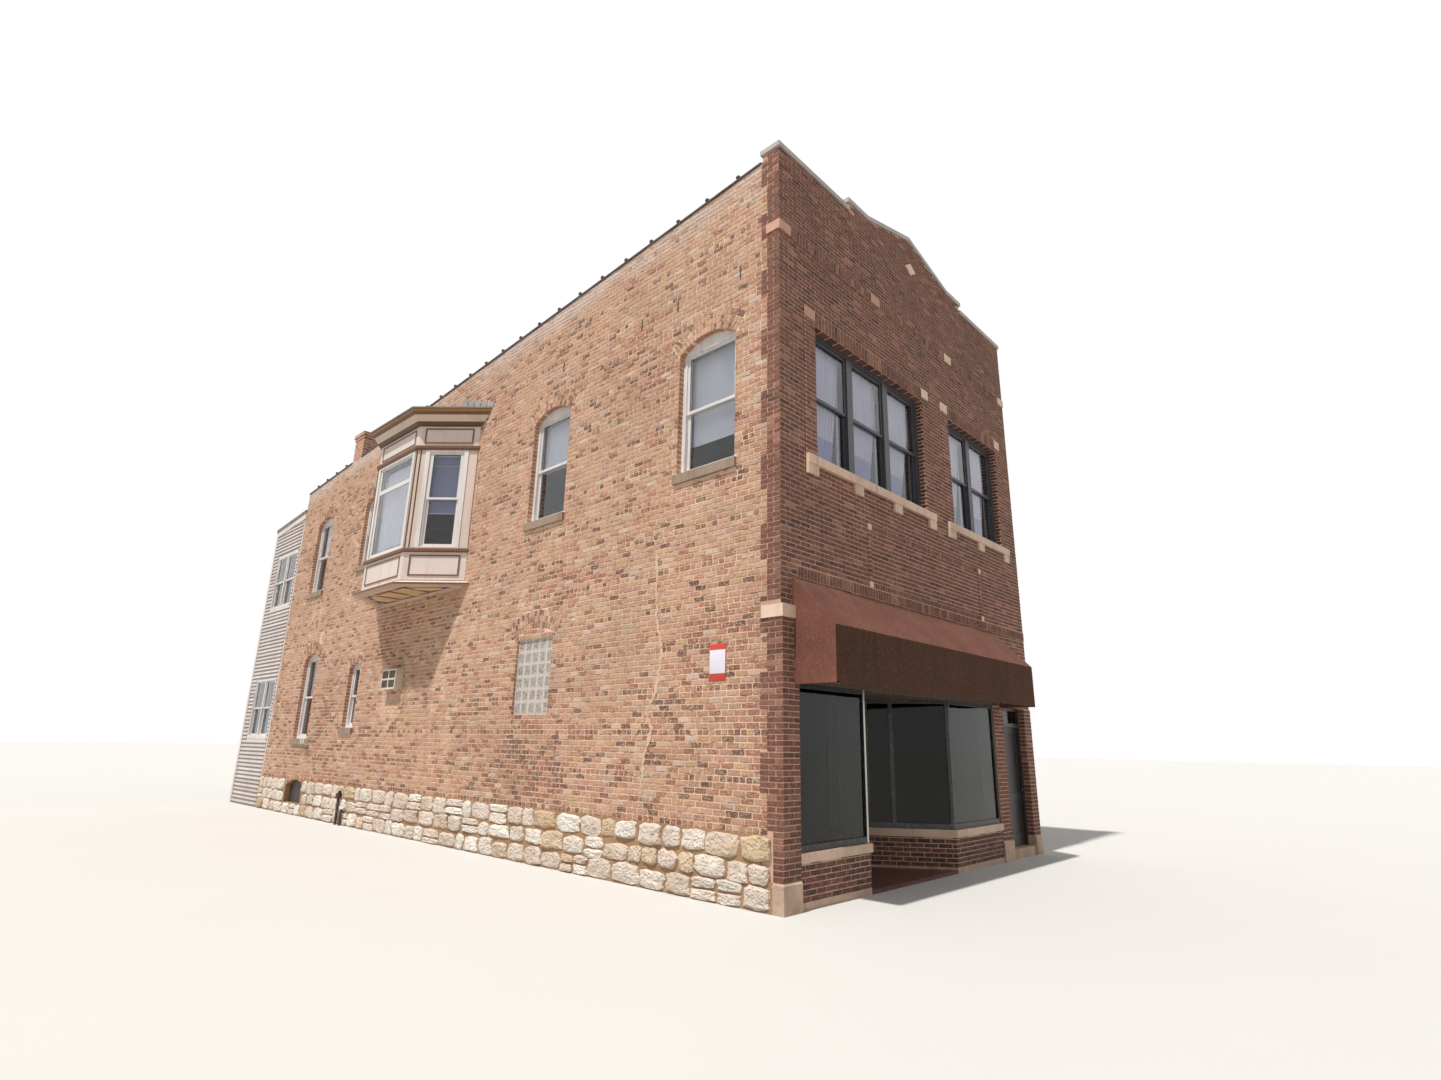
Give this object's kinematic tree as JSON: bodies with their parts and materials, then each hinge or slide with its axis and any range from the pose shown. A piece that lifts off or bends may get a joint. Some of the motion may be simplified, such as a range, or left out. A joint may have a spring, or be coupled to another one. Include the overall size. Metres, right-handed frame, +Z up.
{
  "type": "two-storey corner shop building",
  "caption": "Brick corner shop with a recessed entry under an awning, rooms above, a stepped gable front, an oriel bay and a sided rear porch.",
  "frame": {"origin": "middle of the building's footprint, brick block and rear porch together, on the ground", "axes": "+X along the shop front, away from the side street; +Y from the shop front to the rear; +Z up"},
  "size_m": [8.91, 20.93, 11.01],
  "materials": {
    "concrete": "trowelled",
    "entry_tile": "dark red tile",
    "floor_boards": "satin",
    "roof_felt": "matt rolled roofing",
    "rubble_stone": "pale limestone rubble",
    "common_brick": "buff and orange common brick, matt",
    "face_brick": "dark red-brown pressed brick, matt",
    "cut_stone": "smooth pale stone",
    "clay_tile": "dark glazed tile",
    "header_wood": "painted tan",
    "storefront_metal": "satin anodised",
    "window_glass": "clear",
    "dark_wood": "varnished",
    "galvanised": "galvanised tube",
    "awning_cloth": "brown coated cloth",
    "door_black": "black paint, satin",
    "charcoal_paint": "charcoal paint, satin",
    "white_paint": "white paint, satin",
    "glass_block": "ribbed glass blocks",
    "parged": "parged brick with a dark cap",
    "cream_paint": "cream paint, satin",
    "siding": "pale grey siding",
    "cooler_metal": "beige enamel",
    "board_dark": "weathered board",
    "wall_iron": "rusted iron"
  },
  "bodies": {
    "building": {"ground_floor": "concrete", "entry_floor": "entry_tile", "second_floor": "floor_boards", "roof_deck": "roof_felt", "foundation_wall": "rubble_stone", "left_wall": "common_brick", "party_wall": "common_brick", "rear_wall": "common_brick", "front_wall": "face_brick", "brick_borders": "face_brick", "corner_pier": "face_brick", "door_piers": "face_brick", "base_stones": "cut_stone", "front_sills": "cut_stone", "accent_stones": "cut_stone", "front_coping": "cut_stone", "side_coping": "clay_tile", "storefront_header": "header_wood", "shop_bulkheads": "face_brick", "display_frames": "storefront_metal", "shop_glass": "window_glass", "shop_door": "dark_wood", "entry_ceiling": "header_wood", "awning_rails": "galvanised", "awning_ribs": "galvanised", "awning_cover": "awning_cloth", "upstairs_door_frame": "charcoal_paint", "front_window_frames": "charcoal_paint", "side_window_frames": "white_paint", "window_glass": "window_glass", "side_window_sills": "cut_stone", "glass_block_window": "glass_block", "chimney": "parged", "oriel_base": "cream_paint", "oriel_frame": "cream_paint", "oriel_cornice": "cream_paint", "oriel_roof": "roof_felt", "porch_walls": "siding", "porch_windows": "white_paint", "porch_roof": "roof_felt", "porch_fascia": "white_paint", "air_conditioner": "cooler_metal", "basement_window": "board_dark", "wall_fittings": "wall_iron"},
    "street_door": {"upstairs_door": "door_black"}
  },
  "joints": [
    {"name": "street_door_hinge", "type": "hinge", "parent": "building", "child": "street_door", "pos_m": [2.6275, -9.911, 1.2], "axis": [0, 0, 1], "range_deg": [0, 90]}
  ]
}
